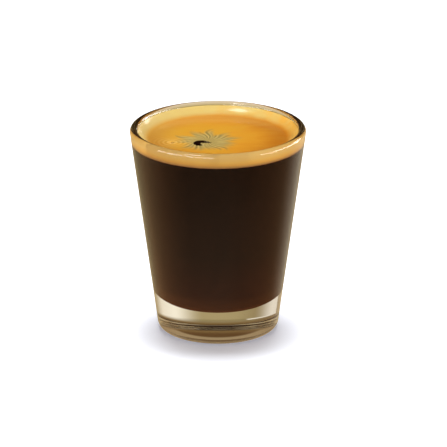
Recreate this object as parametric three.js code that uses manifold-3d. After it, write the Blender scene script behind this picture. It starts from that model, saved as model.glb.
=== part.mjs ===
// A double espresso in its small clear glass: heavy-based tapered glass, dark coffee and crema.
// Millimetres, +Z up, the foot of the glass on Z = 0 and its axis on Z.

import * as THREE from "three";
import { mergeVertices } from "three/addons/utils/BufferGeometryUtils.js";
import Module from "manifold-3d";

const wasm = await Module();
wasm.setup();

// The glass: a tapered tumbler with a thick foot.
const glassHeight = 61;
const rimDiameter = 51;
const footDiameter = 34.7;
const wallThickness = 2.4;
const footThickness = 8.7;
const heelRadius = 2.6;
const innerCornerRadius = 12;
const puntDiameter = 24.6;
const puntDepth = 1;

// The drink: depths below the rim at which each layer starts or ends.
const cremaLevelDepth = 3.2;
const cremaClingDepth = 0.8;
const cremaBaseDepth = 4.6;
const cremaClingWidth = 3.6;
const clingPower = 2.2;
const layerGap = 0.3;

// The eye: a burst bubble whose slit curls round a tongue of foam, and a pinhole beside it.
const eyeCentre = new THREE.Vector2(-4.7, -5.2);
const eyeRadiusX = 1.4;
const eyeRadiusY = 1.5;
const eyeSlitWidth = 1.9;
const eyeDepth = 0.8;
const eyeStart = THREE.MathUtils.degToRad(20);
const eyeEnd = THREE.MathUtils.degToRad(293);
const pinholeCentre = new THREE.Vector2(-13.2, -4.3);
const pinholeRadius = 0.6;

// Facets.
const roundSegments = 80;
const arcStep = THREE.MathUtils.degToRad(15);
const puntSteps = 5;
const clingSteps = 5;
const eyeCurveSegments = 14;
const pinholeSegments = 10;

// The outer wall runs from the foot to the round of the rim, so its lean follows from both.
const rimRadius = wallThickness / 2;
const rimCentre = new THREE.Vector2(rimDiameter / 2 - rimRadius, glassHeight - rimRadius);
const footToRim = rimCentre.clone().sub(new THREE.Vector2(footDiameter / 2, 0));
const wallLean = Math.atan2(footToRim.x, footToRim.y) + Math.asin(rimRadius / footToRim.length());

// Radius of a line parallel to the outer wall, set in from it by a distance.
function wallRadius(z, setIn) {
  return footDiameter / 2 + z * Math.tan(wallLean) - setIn / Math.cos(wallLean);
}

// Points of a round stretch of a profile, from one angle to the other.
function arcPoints(centre, radius, startAngle, endAngle, leastSteps = 2) {
  const steps = Math.max(leastSteps, Math.ceil(Math.abs(endAngle - startAngle) / arcStep));
  return Array.from({ length: steps + 1 }, (_, i) => {
    const angle = startAngle + ((endAngle - startAngle) * i) / steps;
    return new THREE.Vector2(centre.x + radius * Math.cos(angle), centre.y + radius * Math.sin(angle));
  });
}

// The inside of the glass from the axis out to the wall, set in by a clearance.
function bowlPoints(clearance) {
  const radius = innerCornerRadius - clearance;
  const centreZ = footThickness + innerCornerRadius;
  const centre = new THREE.Vector2(wallRadius(centreZ, wallThickness + innerCornerRadius), centreZ);
  const floor = new THREE.Vector2(0, footThickness + clearance);
  return [floor, ...arcPoints(centre, radius, -Math.PI / 2, -wallLean)];
}

// Turned solids keep Z as their axis: a lathe turns about Y.
function turned(profile) {
  const geometry = new THREE.LatheGeometry(profile, roundSegments);
  geometry.rotateX(Math.PI / 2);
  return geometry;
}

function toSolid(geometry) {
  const bare = geometry.clone();
  bare.deleteAttribute("normal");
  bare.deleteAttribute("uv");
  const merged = mergeVertices(bare);
  return new wasm.Manifold(
    new wasm.Mesh({
      numProp: 3,
      vertProperties: new Float32Array(merged.attributes.position.array),
      triVerts: new Uint32Array(merged.index.array),
    }),
  );
}

function toGeometry(solid) {
  const mesh = solid.getMesh();
  const geometry = new THREE.BufferGeometry();
  geometry.setAttribute("position", new THREE.BufferAttribute(mesh.vertProperties, 3));
  geometry.setIndex(new THREE.BufferAttribute(mesh.triVerts, 1));
  geometry.computeVertexNormals();
  return geometry;
}

// The underside of the foot is dished, so the glass stands on the ring round the dish.
function puntPoints() {
  const edge = puntDiameter / 2;
  const dishRadius = (edge ** 2 + puntDepth ** 2) / (2 * puntDepth);
  const centre = new THREE.Vector2(0, puntDepth - dishRadius);
  const edgeAngle = Math.PI / 2 - Math.asin(edge / dishRadius);
  const dish = arcPoints(centre, dishRadius, Math.PI / 2, edgeAngle, puntSteps);
  return [new THREE.Vector2(0, puntDepth), ...dish.slice(1)];
}

function makeGlass() {
  const heelCentre = new THREE.Vector2(wallRadius(heelRadius, heelRadius), heelRadius);
  const profile = [
    ...puntPoints(),
    ...arcPoints(heelCentre, heelRadius, -Math.PI / 2, -wallLean),
    ...arcPoints(rimCentre, rimRadius, -wallLean, Math.PI - wallLean),
    ...bowlPoints(0).reverse(),
  ];
  return turned(profile);
}

function makeEspresso() {
  const top = glassHeight - cremaBaseDepth - layerGap;
  const edge = new THREE.Vector2(wallRadius(top, wallThickness + layerGap), top);
  return turned([...bowlPoints(layerGap), edge, new THREE.Vector2(0, top)]);
}

// Foam that stands higher where it clings to the wall than in the middle.
function makeCremaLayer() {
  const base = glassHeight - cremaBaseDepth;
  const level = glassHeight - cremaLevelDepth;
  const cling = glassHeight - cremaClingDepth;
  const baseEdge = new THREE.Vector2(wallRadius(base, wallThickness + layerGap), base);
  const clingEdge = wallRadius(cling, wallThickness + layerGap);
  const rise = Array.from({ length: clingSteps + 1 }, (_, i) => {
    const share = 1 - i / clingSteps;
    const radius = clingEdge - cremaClingWidth * (1 - share);
    return new THREE.Vector2(radius, level + (cling - level) * share ** clingPower);
  });
  return turned([new THREE.Vector2(0, base), baseEdge, ...rise, new THREE.Vector2(0, level)]);
}

function makeEyeSlit() {
  const half = eyeSlitWidth / 2;
  const outline = new THREE.Shape();
  outline.absellipse(0, 0, eyeRadiusX + half, eyeRadiusY + half, eyeStart, eyeEnd, false);
  outline.absellipse(0, 0, eyeRadiusX - half, eyeRadiusY - half, eyeEnd, eyeStart, true);
  outline.closePath();
  const slit = new THREE.ExtrudeGeometry(outline, {
    depth: 2 * eyeDepth,
    bevelEnabled: false,
    curveSegments: eyeCurveSegments,
  });
  slit.translate(eyeCentre.x, eyeCentre.y, glassHeight - cremaLevelDepth - eyeDepth);
  return slit;
}

function makePinhole() {
  const pinhole = new THREE.SphereGeometry(pinholeRadius, pinholeSegments, pinholeSegments / 2);
  pinhole.translate(pinholeCentre.x, pinholeCentre.y, glassHeight - cremaLevelDepth);
  return pinhole;
}

function makeCrema() {
  const layer = toSolid(makeCremaLayer());
  return toGeometry(layer.subtract(toSolid(makeEyeSlit())).subtract(toSolid(makePinhole())));
}

function addPart(group, name, geometry, color, roughness) {
  const mesh = new THREE.Mesh(
    geometry,
    new THREE.MeshStandardMaterial({ color, roughness, metalness: 0 }),
  );
  mesh.name = name;
  group.add(mesh);
  return mesh;
}

const drink = new THREE.Group();
const glass = addPart(drink, "glass", makeGlass(), 0xe9ece4, 0.05);
glass.material.transparent = true;
glass.material.opacity = 0.3;
addPart(drink, "espresso", makeEspresso(), 0x281912, 0.15);
addPart(drink, "crema", makeCrema(), 0xd89d3f, 0.45);

export default drink;
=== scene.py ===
import math
import random

import bmesh
import bpy
import numpy as np
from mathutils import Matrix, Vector


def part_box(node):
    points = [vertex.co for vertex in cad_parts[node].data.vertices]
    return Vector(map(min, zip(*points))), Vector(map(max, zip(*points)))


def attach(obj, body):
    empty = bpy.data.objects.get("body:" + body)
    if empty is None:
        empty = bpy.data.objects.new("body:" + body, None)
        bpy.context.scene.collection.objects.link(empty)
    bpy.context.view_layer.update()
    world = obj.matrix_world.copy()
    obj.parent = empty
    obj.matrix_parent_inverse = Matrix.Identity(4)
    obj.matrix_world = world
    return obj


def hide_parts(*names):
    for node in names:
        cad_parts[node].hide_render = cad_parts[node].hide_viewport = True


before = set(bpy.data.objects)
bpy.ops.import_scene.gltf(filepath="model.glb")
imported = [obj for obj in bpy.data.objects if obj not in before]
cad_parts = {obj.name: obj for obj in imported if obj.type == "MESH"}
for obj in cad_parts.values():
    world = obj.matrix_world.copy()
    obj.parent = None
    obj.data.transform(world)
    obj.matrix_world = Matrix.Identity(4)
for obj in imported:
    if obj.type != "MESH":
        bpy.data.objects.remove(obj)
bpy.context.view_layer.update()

# Double espresso in its small clear glass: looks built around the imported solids, in metres.
mm = 0.001
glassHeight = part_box("glass")[1].z
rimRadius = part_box("glass")[1].x
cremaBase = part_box("crema")[0].z
print("frame loaded, glass", round(glassHeight / mm, 1), "mm tall")

scene = bpy.context.scene
scene.view_settings.view_transform = "Standard"
scene.cycles.max_bounces = 24
scene.cycles.transmission_bounces = 24
scene.cycles.glossy_bounces = 12


def linear(hexColour):
    # sRGB hex to linear RGBA
    channels = [int(hexColour[i:i + 2], 16) / 255 for i in (1, 3, 5)]
    return tuple(c / 12.92 if c <= 0.04045 else ((c + 0.055) / 1.055) ** 2.4 for c in channels) + (1.0,)


def addNode(tree, kind, inputs=None, stops=None, **settings):
    # adds a node, sets its options and ramp stops, then fills or links its inputs
    node = tree.nodes.new(kind)
    for option, value in settings.items():
        setattr(node, option, value)
    if stops:
        ramp = node.color_ramp.elements
        while len(ramp) < len(stops):
            ramp.new(0.5)
        for element, (position, colour) in zip(ramp, stops):
            element.position = position
            element.color = linear(colour)
    for socket, value in (inputs or {}).items():
        if isinstance(value, bpy.types.NodeSocket):
            tree.links.new(value, node.inputs[socket])
        else:
            node.inputs[socket].default_value = value
    return node


def newMaterial(name):
    material = bpy.data.materials.new(name)
    material.use_nodes = True
    material.node_tree.nodes.clear()
    return material, material.node_tree


def arc(centreR, centreZ, radius, startDeg, endDeg, stepDeg=4.0):
    # points of a round stretch of a turned profile
    steps = max(2, math.ceil(abs(endDeg - startDeg) / stepDeg))
    angles = [math.radians(startDeg + (endDeg - startDeg) * i / steps) for i in range(steps + 1)]
    return [(centreR + radius * math.cos(a), centreZ + radius * math.sin(a)) for a in angles]


def makePiece(name, mesh, material, node):
    # a smooth-shaded piece that rides on the part and stands for one of its nodes
    for polygon in mesh.polygons:
        polygon.use_smooth = True
    mesh.materials.append(material)
    piece = bpy.data.objects.new(name, mesh)
    scene.collection.objects.link(piece)
    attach(piece, "root")
    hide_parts(node)
    return piece


def turnedMesh(name, profile, segments):
    # turns a profile of (radius, height) points about the axis; points on the axis become poles
    shape = bmesh.new()
    rings = []
    for radius, z in profile:
        count = 1 if radius < 1e-7 else segments
        turn = [2 * math.pi * i / count for i in range(count)]
        rings.append([shape.verts.new((radius * math.cos(a), radius * math.sin(a), z)) for a in turn])
    for low, high in zip(rings, rings[1:]):
        for i in range(segments):
            j = (i + 1) % segments
            corners = [low[i % len(low)], low[j % len(low)], high[j % len(high)], high[i % len(high)]]
            unique = [c for k, c in enumerate(corners) if c not in corners[:k]]
            shape.faces.new(unique)
    bmesh.ops.recalc_face_normals(shape, faces=shape.faces)
    mesh = bpy.data.meshes.new(name)
    shape.to_mesh(mesh)
    shape.free()
    return mesh


# Camera: the glass as photographed, from a little above and far off
cameraView = {
    "distance": 1500 * mm,
    "elevation": 19.5,
    "pixelsPerMm": 3.441,
    "framePixels": 447,
    "axisPixel": (218.0, 228.3),  # where the middle of the glass's axis falls in the frame
    "axisHeight": 30 * mm,
    "sensor": 36.0,
}


def addCamera(view):
    tilt = math.radians(view["elevation"])
    forward = Vector((0, math.cos(tilt), -math.sin(tilt)))
    up = Vector((0, math.sin(tilt), math.cos(tilt)))
    middle = view["framePixels"] / 2
    across = (middle - view["axisPixel"][0]) / view["pixelsPerMm"] * mm
    above = (view["axisPixel"][1] - middle) / view["pixelsPerMm"] * mm
    aim = Vector((across, 0, view["axisHeight"])) + up * above
    data = bpy.data.cameras.new("camera")
    data.sensor_width = view["sensor"]
    data.lens = view["pixelsPerMm"] * (view["distance"] / mm) * view["sensor"] / view["framePixels"]
    data.clip_start = 0.1
    camera = bpy.data.objects.new("camera", data)
    camera.location = aim - forward * view["distance"]
    camera.rotation_mode = "QUATERNION"
    camera.rotation_quaternion = forward.to_track_quat("-Z", "Y")
    scene.collection.objects.link(camera)
    scene.camera = camera


addCamera(cameraView)
print("camera placed")

# Glass: a pressed soda-lime tumbler with a heavy foot, a dished underside and a fire-polished rim
glassForm = {
    "footRadius": 17.35 * mm,
    "wall": 2.4 * mm,
    "foot": 8.7 * mm,
    "heel": 2.6 * mm,
    "innerCorner": 12 * mm,
    "puntRadius": 12.3 * mm,
    "puntDepth": 1.0 * mm,
    "segments": 256,
}
lip = glassForm["wall"] / 2
lipR = rimRadius - lip
lipZ = glassHeight - lip
leanOut = lipR - glassForm["footRadius"]
wallLean = math.atan2(leanOut, lipZ) + math.asin(lip / math.hypot(leanOut, lipZ))
leanDeg = math.degrees(wallLean)


def wallRadius(z, setIn):
    # radius of a line parallel to the outer wall, set in from it
    return glassForm["footRadius"] + z * math.tan(wallLean) - setIn / math.cos(wallLean)


def bowlProfile(reach):
    # inside of the glass from the axis to the wall, grown into the glass by reach
    corner = glassForm["innerCorner"]
    centreZ = glassForm["foot"] + corner
    centreR = wallRadius(centreZ, glassForm["wall"] + corner)
    return [(0, glassForm["foot"] - reach)] + arc(centreR, centreZ, corner + reach, -90, -leanDeg)


def glassProfile():
    form = glassForm
    deep, wide = form["puntDepth"], form["puntRadius"]
    dish = (wide ** 2 + deep ** 2) / (2 * deep)
    dishSpan = math.degrees(math.asin(wide / dish))
    punt = [(0, deep)] + arc(0, deep - dish, dish, 90, 90 - dishSpan, 0.6)[1:]
    heel = arc(wallRadius(form["heel"], form["heel"]), form["heel"], form["heel"], -90, -leanDeg)
    rim = arc(lipR, lipZ, lip, -leanDeg, 180 - leanDeg)
    return punt + heel + rim + bowlProfile(0)[::-1]


def sodaLimeGlass():
    # clear pressed glass: sharp bright edges, and a faint waviness that bends what is behind it
    material, tree = newMaterial("sodaLimeGlass")
    place = addNode(tree, "ShaderNodeTexCoord")
    wave = addNode(tree, "ShaderNodeTexNoise", {
        "Vector": place.outputs["Object"],
        "Scale": 1 / (14 * mm),
        "Detail": 1.0,
    })
    bump = addNode(tree, "ShaderNodeBump", {
        "Height": wave.outputs["Fac"],
        "Strength": 0.01,
        "Distance": 0.4 * mm,
    })
    glass = addNode(tree, "ShaderNodeBsdfPrincipled", {
        "Base Color": linear("#fbfcf8"),
        "Roughness": 0.0,
        "IOR": 1.52,
        "Transmission Weight": 1.0,
        "Normal": bump.outputs["Normal"],
    })
    addNode(tree, "ShaderNodeOutputMaterial", {"Surface": glass.outputs["BSDF"]})
    return material


glassMesh = turnedMesh("glassTumbler", glassProfile(), glassForm["segments"])
pieces = [makePiece("glassTumbler", glassMesh, sodaLimeGlass(), "glass")]
print("glass turned,", len(glassMesh.polygons), "faces")

# Espresso: fills the bowl and reaches just into the wall, as the real liquid wets it
wetReach = 0.05 * mm
espressoForm = {
    "top": cremaBase,
    "dip": 0.25 * mm,
    "segments": 192,
}


def espressoProfile():
    top = espressoForm["top"]
    edge = wallRadius(top, glassForm["wall"] - wetReach)
    inner = top - espressoForm["dip"]
    return bowlProfile(wetReach) + [(edge, top), (edge - 1 * mm, inner), (0, inner)]


def brewedCoffee():
    # black coffee: near black in the body, with painted light at the foot of the bowl, a red-brown glow for
    # light shining through the thin coffee
    material, tree = newMaterial("brewedCoffee")
    place = addNode(tree, "ShaderNodeTexCoord")
    axes = addNode(tree, "ShaderNodeSeparateXYZ", {"Vector": place.outputs["Object"]})
    height = addNode(tree, "ShaderNodeMapRange", {
        "Value": axes.outputs["Z"],
        "From Min": glassForm["foot"],
        "From Max": espressoForm["top"],
    })
    # painted light: red-brown low in the bowl for light through the thin coffee, and pale khaki at the very
    # bottom for light seen up through the glass foot
    tintAndPaintedGlow = addNode(tree, "ShaderNodeValToRGB", {"Fac": height.outputs["Result"]}, stops=[
        (0.0, "#d0aa78"), (0.004, "#a88254"), (0.007, "#6e3f22"), (0.04, "#4a2814"), (0.13, "#32190e"),
        (0.4, "#24150c"), (0.8, "#1d1009"), (1.0, "#190c06")])
    body = addNode(tree, "ShaderNodeBsdfPrincipled", {
        "Base Color": tintAndPaintedGlow.outputs["Color"],
        "Roughness": 0.4,
        "Specular IOR Level": 0.0,
        "IOR": 1.33,
    })
    addNode(tree, "ShaderNodeOutputMaterial", {"Surface": body.outputs["BSDF"]})
    return material


espressoMesh = turnedMesh("espressoBody", espressoProfile(), espressoForm["segments"])
coffee = brewedCoffee()
pieces.append(makePiece("espressoBody", espressoMesh, coffee, "espresso"))
print("espresso poured,", len(espressoMesh.polygons), "faces")

# Crema: fine foam that clings to the wall, with a burst bubble and a pale star of drawn foam round it
cremaForm = {
    "base": cremaBase,
    "level": glassHeight - 3.2 * mm,
    "cling": glassHeight - 0.8 * mm,
    "clingWidth": 3.6 * mm,
    "clingPower": 2.2,
    "eye": (-4.7 * mm, -5.2 * mm),
    "eyeRadii": (1.4 * mm, 1.5 * mm),
    "eyeSlit": 1.9 * mm,
    "eyeDepth": 0.8 * mm,
    "eyeArc": (20.0, 293.0),
    "eyeTail": ((0.3 * mm, 1.3 * mm), (2.2 * mm, 0.9 * mm), 0.95 * mm),  # from, to, half width
    "pinhole": (-13.2 * mm, -4.3 * mm),
    "pinholeRadius": 0.6 * mm,
    "rippleSpacing": 1.3 * mm,
    "rippleReach": 2.6 * mm,
    "star": (-3.2 * mm, -3.0 * mm),
    "starReach": 12 * mm,
    "rings": 150,
    "segments": 400,
    "seed": 7,
}


def smooth(low, high, value):
    share = np.clip((value - low) / (high - low), 0, 1)
    return share * share * (3 - 2 * share)


def angleWaves(angle, rng, waves, low, high):
    # seeded sum of waves round a point, about -1 to 1
    total = np.zeros_like(angle)
    for _ in range(waves):
        total += math.sqrt(1 / waves) * np.sin(angle * rng.randint(low, high) + rng.uniform(0, 6.283))
    return total


def cremaTop(x, y):
    # height of the foam at a place, with masks for what colours it there
    form = cremaForm
    rng = random.Random(form["seed"])
    radius = np.hypot(x, y)
    edge = wallRadius(form["cling"], glassForm["wall"] - wetReach)
    ring = np.clip((radius - edge + form["clingWidth"]) / form["clingWidth"], 0, 1)
    height = form["level"] + (form["cling"] - form["level"]) * ring ** form["clingPower"]

    starX, starY = x - form["star"][0], y - form["star"][1]
    starAngle = np.arctan2(starY, starX)
    starRadius = np.hypot(starX, starY)
    reach = form["starReach"] * (0.78 + 0.16 * angleWaves(starAngle, rng, 5, 5, 13))
    fibre = angleWaves(starAngle + 0.15 * np.sin(starRadius / (1.7 * mm)), rng, 6, 15, 37)
    star = (1 - smooth(0.55, 1.05, starRadius / reach + 0.08 * fibre)) * (1 - smooth(0, 0.15, ring))
    height += 0.07 * mm * fibre * star * smooth(1.5 * mm, 4 * mm, starRadius)

    eyeX, eyeY = x - form["eye"][0], y - form["eye"][1]
    radiusX, radiusY = form["eyeRadii"]
    turn = np.degrees(np.arctan2(eyeY / radiusY, eyeX / radiusX)) % 360
    scaled = np.hypot(eyeX / radiusX, eyeY / radiusY)
    offLine = np.abs(scaled - 1) * (radiusX + radiusY) / 2
    start, end = form["eyeArc"]
    along = np.clip((turn - start) / (end - start), 0, 1)
    inside = (turn > start) & (turn < end)
    width = form["eyeSlit"] / 2 * np.minimum(1, 0.3 + 3.5 * np.minimum(along, 1 - along))
    slit = np.where(inside, 1 - smooth(0.8, 1.0, offLine / width), 0)
    brink = np.where(inside, 1 - smooth(1.0, 1.2, offLine / width), 0)
    (fromX, fromY), (toX, toY), tailHalf = form["eyeTail"]
    runX, runY = toX - fromX, toY - fromY
    along = np.clip(((eyeX - fromX) * runX + (eyeY - fromY) * runY) / (runX ** 2 + runY ** 2), 0, 1)
    offTail = np.hypot(eyeX - fromX - along * runX, eyeY - fromY - along * runY)
    offTail /= tailHalf * (1 - 0.4 * along)
    slit = np.maximum(slit, 1 - smooth(0.8, 1.0, offTail))
    brink = np.maximum(brink, 1 - smooth(1.0, 1.2, offTail))
    height -= form["eyeDepth"] * slit
    height += 0.06 * mm * np.exp(-((offLine - 1.2 * width) / (0.4 * mm)) ** 2) * (1 - slit)

    holeRadius = np.hypot(x - form["pinhole"][0], y - form["pinhole"][1])
    hole = 1 - smooth(0.5, 1.0, holeRadius / form["pinholeRadius"])
    fade = np.exp(-holeRadius / form["rippleReach"]) * (1 - hole)
    ripple = fade * (0.5 + 0.5 * np.cos(2 * math.pi * holeRadius / form["rippleSpacing"]))
    height += 0.12 * mm * ripple - form["pinholeRadius"] * hole
    masks = {"ring": ring, "star": star, "fibre": 0.5 + 0.5 * fibre, "ripple": ripple}
    # painted shade: mask for a deeper, darker orange towards the glass wall, where the wall shades the foam
    masks["wallShade"] = smooth(0.45, 0.88, radius / edge)
    # the burst bubble and pinhole are painted dark: coffee showing through, with painted shade on their
    # walls and brinks
    masks["coffeeAndShadeInHollow"] = np.maximum(brink, hole)
    return height, masks


def cremaMesh():
    form = cremaForm
    count, segments = form["rings"], form["segments"]
    edge = wallRadius(form["cling"], glassForm["wall"] - wetReach)
    radii = np.linspace(0, edge, count + 1)[1:]
    turn = np.linspace(0, 2 * math.pi, segments, endpoint=False)
    ringR, ringA = np.meshgrid(radii, turn, indexing="ij")
    x = np.append(0, (ringR * np.cos(ringA)).ravel())
    y = np.append(0, (ringR * np.sin(ringA)).ravel())
    height, masks = cremaTop(x, y)
    points = list(zip(x, y, height))
    sides = 8
    for step in range(1, sides + 1):
        z = form["cling"] + (form["base"] - form["cling"]) * step / sides
        r = wallRadius(z, glassForm["wall"] - wetReach)
        points += [(r * math.cos(a), r * math.sin(a), z) for a in turn]
    points.append((0, 0, form["base"]))
    faces = [(0, 1 + i, 1 + (i + 1) % segments) for i in range(segments)]
    for k in range(count + sides - 1):
        low, high = 1 + k * segments, 1 + (k + 1) * segments
        nexts = [(i, (i + 1) % segments) for i in range(segments)]
        faces += [(low + i, high + i, high + j, low + j) for i, j in nexts]
    last = 1 + (count + sides - 1) * segments
    faces += [(last + i, len(points) - 1, last + (i + 1) % segments) for i in range(segments)]
    mesh = bpy.data.meshes.new("cremaFoam")
    mesh.from_pydata([tuple(map(float, p)) for p in points], [], faces)
    for name, values in masks.items():
        mask = mesh.attributes.new(name, "FLOAT", "POINT")
        onSides = 1.0 if name == "ring" else 0.0
        mask.data.foreach_set("value", [float(v) for v in values] + [onSides] * (len(points) - len(x)))
    mesh.update()
    return mesh


def coffeeFoam():
    # crema: dense fine foam of coffee oils, golden and matte, moist enough for a soft gleam on its slopes
    material, tree = newMaterial("coffeeFoam")
    where = addNode(tree, "ShaderNodeTexCoord").outputs["Object"]
    axes = addNode(tree, "ShaderNodeSeparateXYZ", {"Vector": where})
    ring, wallShade, star, fibre, ripple, coffeeAndShadeInHollow = [
        addNode(tree, "ShaderNodeAttribute", attribute_name=name).outputs["Fac"]
        for name in ("ring", "wallShade", "star", "fibre", "ripple", "coffeeAndShadeInHollow")]
    drift = addNode(tree, "ShaderNodeTexNoise", {
        "Vector": where,
        "Scale": 1 / (11 * mm),
        "Detail": 4.0,
    })
    # foam tone: random patches, mixed with a run from yellower at -X to deeper orange at +X
    across = addNode(tree, "ShaderNodeMapRange", {
        "Value": axes.outputs["X"], "From Min": -40 * mm, "From Max": 40 * mm})
    drawnOut = addNode(tree, "ShaderNodeVectorMath", {0: where, 1: (0.3, 1.0, 1.0)}, operation="MULTIPLY")
    streak = addNode(tree, "ShaderNodeTexNoise", {
        "Vector": drawnOut.outputs["Vector"],
        "Scale": 1 / (2.2 * mm),
        "Detail": 3.0,
    })
    patch = addNode(tree, "ShaderNodeMix", {0: 0.4, 2: drift.outputs["Fac"], 3: streak.outputs["Fac"]})
    toneAcross = addNode(tree, "ShaderNodeMix", {0: 0.55, 2: across.outputs["Result"], 3: patch.outputs[0]})
    gold = addNode(tree, "ShaderNodeValToRGB", {"Fac": toneAcross.outputs[0]}, stops=[
        (0.3, "#c69833"), (0.45, "#c89428"), (0.55, "#c98c24"), (0.68, "#c07a16")])
    # painted shade: darker, deeper orange for the foam near the glass wall
    foot = addNode(tree, "ShaderNodeValToRGB", {"Fac": toneAcross.outputs[0]}, stops=[
        (0.35, "#be8c34"), (0.65, "#ba7214")])
    crest = addNode(tree, "ShaderNodeValToRGB", {"Fac": toneAcross.outputs[0]}, stops=[
        (0.35, "#a8935a"), (0.5, "#ae9a5a"), (0.65, "#b68a38")])
    blend = gold.outputs["Color"]
    for place, low, high, layer in ((wallShade, 0.0, 1.0, foot), (ring, 0.02, 0.65, crest)):
        share = addNode(tree, "ShaderNodeMapRange", {
            "Value": place, "From Min": low, "From Max": high}, interpolation_type="SMOOTHSTEP")
        blend = addNode(tree, "ShaderNodeMix", {
            0: share.outputs["Result"], 6: blend, 7: layer.outputs["Color"]}, data_type="RGBA").outputs[2]
    drawn = addNode(tree, "ShaderNodeValToRGB", {"Fac": fibre}, stops=[
        (0.1, "#82733f"), (0.5, "#9c8c52"), (0.9, "#b5a060")])
    khaki = addNode(tree, "ShaderNodeMix", {0: star, 6: blend, 7: drawn.outputs["Color"]}, data_type="RGBA")
    pale = addNode(tree, "ShaderNodeMix", {
        0: ripple, 6: khaki.outputs[2], 7: linear("#e6bd6c")}, data_type="RGBA")
    height = addNode(tree, "ShaderNodeMapRange", {
        "Value": axes.outputs["Z"],
        "From Min": cremaForm["base"],
        "From Max": cremaForm["cling"],
    })
    # painted light: the crema's flanks, seen through the glass wall, are painted brighter and paler than
    # its top, going brown at the bottom where the crema meets the coffee
    paintedLitSide = addNode(tree, "ShaderNodeValToRGB", {"Fac": height.outputs["Result"]}, stops=[
        (0.0, "#9a6a40"), (0.1, "#c08a4c"), (0.25, "#e6ac52"), (0.45, "#eebc60"), (1.0, "#eeca80")])
    geometry = addNode(tree, "ShaderNodeNewGeometry")
    facing = addNode(tree, "ShaderNodeSeparateXYZ", {"Vector": geometry.outputs["Normal"]})
    isSide = addNode(tree, "ShaderNodeMapRange", {
        "Value": facing.outputs["Z"], "From Min": 0.15, "From Max": 0.0})
    skin = addNode(tree, "ShaderNodeMix", {
        0: isSide.outputs["Result"], 6: pale.outputs[2], 7: paintedLitSide.outputs["Color"]}, data_type="RGBA")
    # painted dark coffee brown in the burst bubble and pinhole: coffee showing through, with painted shade
    # in the pits
    colour = addNode(tree, "ShaderNodeMix", {
        0: coffeeAndShadeInHollow, 6: skin.outputs[2], 7: linear("#1b0d05")}, data_type="RGBA")
    bubbles = addNode(tree, "ShaderNodeTexVoronoi", {"Vector": where, "Scale": 1 / (0.5 * mm)})
    bump = addNode(tree, "ShaderNodeBump", {
        "Height": bubbles.outputs["Distance"], "Strength": 0.12, "Distance": 0.1 * mm})
    foam = addNode(tree, "ShaderNodeBsdfPrincipled", {
        "Base Color": colour.outputs[2],
        "Roughness": 0.45,
        "Specular IOR Level": 0.15,
        "IOR": 1.34,
        "Coat Weight": 0.8,
        "Coat Roughness": 0.15,
        "Coat IOR": 1.6,
        "Normal": bump.outputs["Normal"],
    })
    addNode(tree, "ShaderNodeOutputMaterial", {"Surface": foam.outputs["BSDF"]})
    return material


pieces.append(makePiece("cremaFoam", cremaMesh(), coffeeFoam(), "crema"))
foamFaces = pieces[-1].data
foamFaces.materials.append(coffee)  # dark coffee is painted in the burst bubble and the pinhole: the coffee showing through, with painted shade in the pits
coffeeAndShadeInHollow = [point.value for point in foamFaces.attributes["coffeeAndShadeInHollow"].data]
for polygon in foamFaces.polygons:
    polygon.material_index = int(min(coffeeAndShadeInHollow[v] for v in polygon.vertices) > 0.5)
print("crema laid,", len(foamFaces.polygons), "faces")

# Stage: a pale floor in a warm room with soft windows, and softboxes that are flagged off the floor
stageForm = {
    "floorSize": 4.0,
    "floorDrop": 0.02 * mm,
    "floorGlow": 0.32,
    # degrees: azimuth from the front towards +X, height over the horizon, half sizes, soft edge
    "windows": [
        {"azimuth": 138, "height": -12, "halfWidth": 20, "halfHeight": 10, "soft": 26, "power": 0.8},
        {"azimuth": -140, "height": -6.5, "halfWidth": 20, "halfHeight": 2, "soft": 3, "power": 0.6},
    ],
    "boxDistance": 1.2,
    "softboxes": [  # for gleams on the glass and the foam
        {"azimuth": -44, "height": 15, "halfWidth": 38, "halfHeight": 9, "power": 8.5},
        {"azimuth": 92, "height": 12, "halfWidth": 34, "halfHeight": 10, "power": 9.0},
        {"azimuth": -54, "height": 66, "halfWidth": 8, "halfHeight": 8, "power": 9.0},
        {"azimuth": 128, "height": 12, "halfWidth": 8, "halfHeight": 12, "power": 5.0},
    ],
    "fills": [  # wide and dim, for the drink behind the glass, which does not block them
        {"azimuth": -50, "height": 8, "halfWidth": 38, "halfHeight": 16, "power": 4.1},
        {"azimuth": 70, "height": 8, "halfWidth": 36, "halfHeight": 16, "power": 3.5},
    ],
    "topLight": {"azimuth": 180, "height": 84, "halfWidth": 12, "halfHeight": 10, "power": 6.0},
    "floorLight": {"azimuth": 180, "height": 84, "halfWidth": 12, "halfHeight": 10, "power": 38.0},
}


def matteFloor():
    # painted board lit from below as well: pale and matte, with faint unevenness
    material, tree = newMaterial("matteFloor")
    place = addNode(tree, "ShaderNodeTexCoord")
    mottle = addNode(tree, "ShaderNodeTexNoise", {
        "Vector": place.outputs["Object"], "Scale": 1 / (40 * mm)})
    shade = addNode(tree, "ShaderNodeValToRGB", {"Fac": mottle.outputs["Fac"]}, stops=[
        (0.0, "#e8eef7"), (1.0, "#ebf1fa")])
    board = addNode(tree, "ShaderNodeBsdfPrincipled", {
        "Base Color": shade.outputs["Color"],
        "Roughness": 0.9,
        "Specular IOR Level": 0.0,
        "Emission Color": linear("#d6e1ff"),
        "Emission Strength": stageForm["floorGlow"],
    })
    addNode(tree, "ShaderNodeOutputMaterial", {"Surface": board.outputs["BSDF"]})
    return material


def addFloor():
    half = stageForm["floorSize"] / 2
    z = -stageForm["floorDrop"]
    corners = [(-half, -half, z), (half, -half, z), (half, half, z), (-half, half, z)]
    mesh = bpy.data.meshes.new("floor")
    mesh.from_pydata(corners, [], [(0, 1, 2, 3)])
    mesh.materials.append(matteFloor())
    floor = bpy.data.objects.new("floor", mesh)
    floor.visible_glossy = False  # the glass mirrors and bends the warm room, not the white floor
    floor.visible_transmission = False
    scene.collection.objects.link(floor)
    return floor


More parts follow.
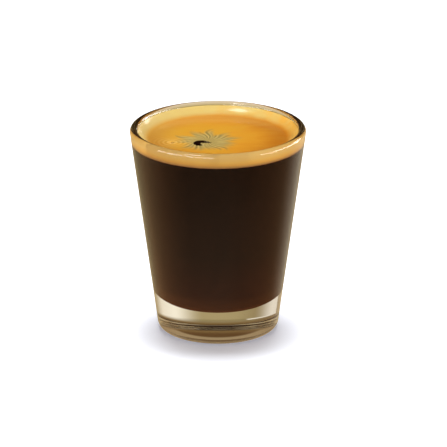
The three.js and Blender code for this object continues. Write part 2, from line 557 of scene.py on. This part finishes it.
def addSoftbox(box, receivers, gleam=False, blockers=None):
    # a flat panel light of even brightness, aimed at the rim of the glass, for what is to receive it
    turn, tilt = math.radians(box["azimuth"]), math.radians(box["height"])
    ahead = Vector((math.sin(turn) * math.cos(tilt), -math.cos(turn) * math.cos(tilt), math.sin(tilt)))
    panel = bpy.data.lights.new("softbox", "AREA")
    panel.shape = "RECTANGLE"
    panel.size = 2 * stageForm["boxDistance"] * math.tan(math.radians(box["halfWidth"]))
    panel.size_y = 2 * stageForm["boxDistance"] * math.tan(math.radians(box["halfHeight"]))
    panel.energy = box["power"] * math.pi * panel.size * panel.size_y
    softbox = bpy.data.objects.new("softbox", panel)
    softbox.location = ahead * stageForm["boxDistance"] + Vector((0, 0, glassHeight))
    softbox.rotation_mode = "QUATERNION"
    softbox.rotation_quaternion = ahead.to_track_quat("Z", "Y")
    softbox.visible_camera = False
    softbox.visible_transmission = False
    softbox.visible_glossy = gleam
    softbox.light_linking.receiver_collection = receivers
    softbox.light_linking.blocker_collection = blockers
    scene.collection.objects.link(softbox)


def addWindow(tree, direction, room, window):
    # adds a soft-edged bright rectangle to the room, at a direction seen from the glass
    turn, tilt = math.radians(window["azimuth"]), math.radians(window["height"])
    ahead = (math.sin(turn) * math.cos(tilt), -math.cos(turn) * math.cos(tilt), math.sin(tilt))
    across = (math.cos(turn), math.sin(turn), 0)
    rise = (-math.sin(turn) * math.sin(tilt), math.cos(turn) * math.sin(tilt), math.cos(tilt))
    light = window["power"]
    for axis, halfSize in ((across, window["halfWidth"]), (rise, window["halfHeight"])):
        offset = addNode(tree, "ShaderNodeVectorMath", {0: direction, 1: axis}, operation="DOT_PRODUCT")
        size = addNode(tree, "ShaderNodeMath", {0: offset.outputs["Value"]}, operation="ABSOLUTE")
        share = addNode(tree, "ShaderNodeMapRange", {
            "Value": size.outputs["Value"],
            "From Min": math.sin(math.radians(halfSize + window["soft"] / 2)),
            "From Max": math.sin(math.radians(halfSize - window["soft"] / 2)),
        }, interpolation_type="SMOOTHSTEP")
        light = addNode(tree, "ShaderNodeMath", {
            0: share.outputs["Result"], 1: light}, operation="MULTIPLY").outputs["Value"]
    toward = addNode(tree, "ShaderNodeVectorMath", {0: direction, 1: ahead}, operation="DOT_PRODUCT")
    front = addNode(tree, "ShaderNodeMath", {0: toward.outputs["Value"], 1: 0.0}, operation="GREATER_THAN")
    power = addNode(tree, "ShaderNodeMath", {0: front.outputs["Value"], 1: light}, operation="MULTIPLY")
    glow = addNode(tree, "ShaderNodeBackground", {
        "Color": linear("#fffdf8"), "Strength": power.outputs["Value"]})
    return addNode(tree, "ShaderNodeAddShader", {0: room, 1: glow.outputs["Background"]}).outputs["Shader"]


def addWorld():
    # a warm table below the horizon, and a room that is khaki in front and brown behind
    world = bpy.data.worlds.new("studio")
    world.use_nodes = True
    tree = world.node_tree
    tree.nodes.clear()
    direction = addNode(tree, "ShaderNodeTexCoord").outputs["Generated"]
    axes = addNode(tree, "ShaderNodeSeparateXYZ", {"Vector": direction})
    along = addNode(tree, "ShaderNodeMapRange", {
        "Value": axes.outputs["Y"], "From Min": -1.0, "From Max": 1.0})
    upright = addNode(tree, "ShaderNodeMapRange", {
        "Value": axes.outputs["Z"], "From Min": -1.0, "From Max": 1.0})
    table = addNode(tree, "ShaderNodeValToRGB", {"Fac": along.outputs["Result"]}, stops=[
        (0.0, "#6a4a33"), (0.2, "#7c5940"), (0.5, "#c39067"), (0.75, "#dcae7c"), (0.95, "#cdb98a")])
    downward = addNode(tree, "ShaderNodeMapRange", {
        "Value": axes.outputs["Z"], "From Min": -0.5, "From Max": -1.0})
    under = addNode(tree, "ShaderNodeMix", {
        0: downward.outputs["Result"], 6: table.outputs["Color"], 7: linear("#f0e4c8")}, data_type="RGBA")
    rightward = addNode(tree, "ShaderNodeMapRange", {
        "Value": axes.outputs["X"], "From Min": 0.2, "From Max": 0.9, "To Max": 0.5})
    under = addNode(tree, "ShaderNodeMix", {
        0: rightward.outputs["Result"], 6: under.outputs[2], 7: linear("#6e4a2e")}, data_type="RGBA")
    backWall = addNode(tree, "ShaderNodeValToRGB", {"Fac": upright.outputs["Result"]}, stops=[
        (0.35, "#c6ad80"), (0.39, "#bba577"), (0.425, "#96855a"), (0.48, "#92805a"), (0.56, "#82683e"),
        (0.72, "#604222"), (1.0, "#604422")])
    overhead = addNode(tree, "ShaderNodeMapRange", {
        "Value": axes.outputs["Z"], "From Min": 0.25, "From Max": 0.4})
    beam = addNode(tree, "ShaderNodeMapRange", {
        "Value": axes.outputs["Y"],
        "From Min": 0.82,
        "From Max": 0.77,
        "To Max": overhead.outputs["Result"],
    })
    leftward = addNode(tree, "ShaderNodeMapRange", {
        "Value": axes.outputs["X"], "From Min": -0.2, "From Max": -0.8, "To Max": 0.75})
    back = backWall.outputs["Color"]
    for share, tone in ((leftward, "#80694a"), (beam, "#a38a66")):
        back = addNode(tree, "ShaderNodeMix", {
            0: share.outputs["Result"], 6: back, 7: linear(tone)}, data_type="RGBA").outputs[2]
    columns = []
    for wall, low, high in ((linear("#b29e7c"), -0.05, 0.1), (back, -0.42, -0.30)):
        rise = addNode(tree, "ShaderNodeMapRange", {
            "Value": axes.outputs["Z"], "From Min": low, "From Max": high})
        columns.append(addNode(tree, "ShaderNodeMix", {
            0: rise.outputs["Result"], 6: under.outputs[2], 7: wall}, data_type="RGBA").outputs[2])
    behind = addNode(tree, "ShaderNodeMapRange", {
        "Value": axes.outputs["Y"], "From Min": -0.1, "From Max": 0.5})
    room = addNode(tree, "ShaderNodeMix", {
        0: behind.outputs["Result"], 6: columns[0], 7: columns[1]}, data_type="RGBA")
    light = addNode(tree, "ShaderNodeBackground", {"Color": room.outputs[2]}).outputs["Background"]
    for window in stageForm["windows"]:
        light = addWindow(tree, direction, light, window)
    addNode(tree, "ShaderNodeOutputWorld", {"Surface": light})
    scene.world = world


def gather(name, members):
    # a group that lights can be linked to
    group = bpy.data.collections.new(name)
    for member in members:
        group.objects.link(member)
    return group


drink = gather("drink", pieces)
contents = gather("contents", pieces[1:])
ground = gather("ground", [addFloor()])
for box in stageForm["softboxes"]:
    addSoftbox(box, drink, gleam=True)
for box in stageForm["fills"]:
    addSoftbox(box, contents, blockers=contents)
addSoftbox(stageForm["topLight"], drink)
addSoftbox(stageForm["floorLight"], ground)
addWorld()
print("stage lit")
